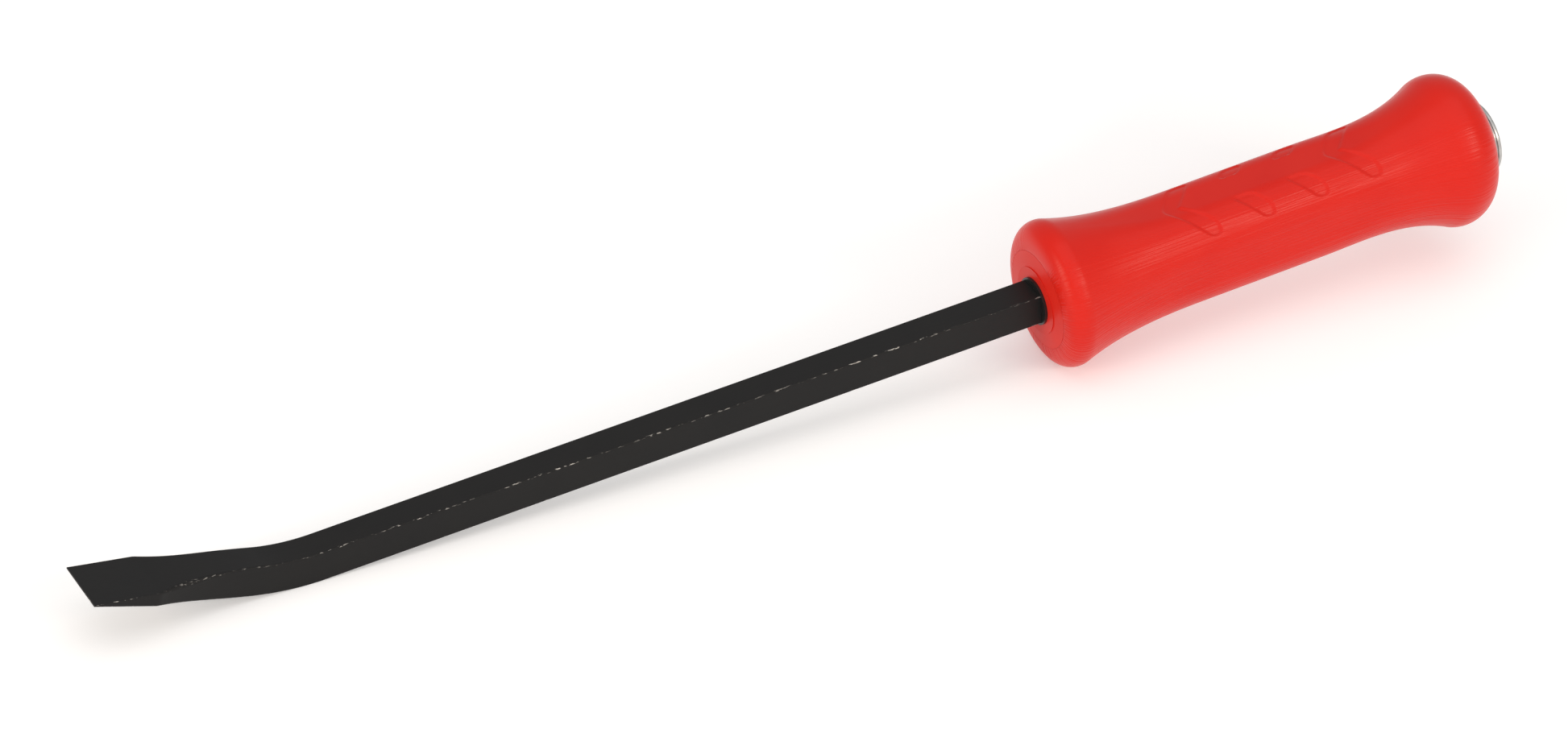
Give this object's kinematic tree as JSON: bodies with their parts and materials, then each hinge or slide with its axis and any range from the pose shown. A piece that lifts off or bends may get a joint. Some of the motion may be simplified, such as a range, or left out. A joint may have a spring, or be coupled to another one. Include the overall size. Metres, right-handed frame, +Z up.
{
  "type": "striking pry lever",
  "caption": "Long square-bar lever with an upswept flared chisel end, a flanged moulded handle and a steel cap for hammer blows.",
  "frame": {"origin": "middle of the tool's length and width, on the surface that it lies on", "axes": "+X from the chisel edge to the strike cap, +Z up, +Y across the bar"},
  "size_m": [0.5877, 0.0564, 0.0759],
  "materials": {
    "black_steel": "satin black finish on forged steel, worn bright along the edges",
    "black_collar": "satin black turned steel",
    "core_plastic": "smooth moulded red plastic, lightly glossy",
    "red_grip": "semi-gloss moulded red plastic with fine flow lines",
    "bright_steel": "turned bright steel"
  },
  "bodies": {
    "root": {"blade": "black_steel", "shank_collar": "black_collar", "handle_core": "core_plastic", "grip": "red_grip", "strike_cap": "bright_steel"}
  },
  "joints": []
}
